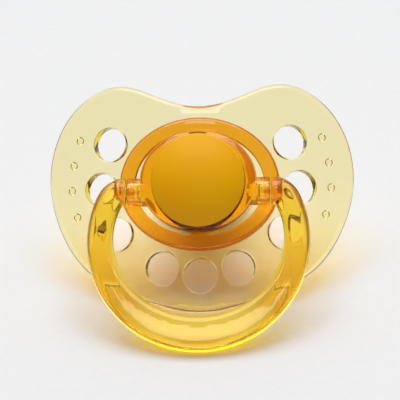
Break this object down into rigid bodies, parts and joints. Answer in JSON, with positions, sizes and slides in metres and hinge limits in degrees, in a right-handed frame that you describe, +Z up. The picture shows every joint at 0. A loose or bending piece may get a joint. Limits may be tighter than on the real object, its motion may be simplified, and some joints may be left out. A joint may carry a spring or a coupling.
{
  "type": "pacifier",
  "caption": "Translucent amber pacifier: butterfly shield with vent holes, oval collar, domed knob, swinging ring handle and a soft latex teat.",
  "frame": {"origin": "centre of the bounding box, on the table that the pacifier leans on", "axes": "+Z up, -Y towards the side that the shield's front faces, +X to the right as seen from the front"},
  "size_m": [0.0472, 0.0464, 0.0274],
  "materials": {
    "shield_plastic": "clear pale amber, polished",
    "amber_plastic": "clear deep amber, polished",
    "dome_plastic": "satin amber",
    "ring_plastic": "clear amber, polished",
    "plug_plastic": "clear amber",
    "latex": "smooth natural latex"
  },
  "bodies": {
    "soother": {"shield": "shield_plastic", "collar": "amber_plastic", "knob": "amber_plastic", "knob_dome": "dome_plastic", "teat": "latex", "teat_plug": "plug_plastic"},
    "ring": {"ring_handle": "ring_plastic"}
  },
  "joints": [
    {"name": "ring_swing", "type": "hinge", "parent": "soother", "child": "ring", "pos_m": [0, -0.00392, 0.01682], "axis": [-1, 0, 0], "range_deg": [-20, 175]}
  ]
}
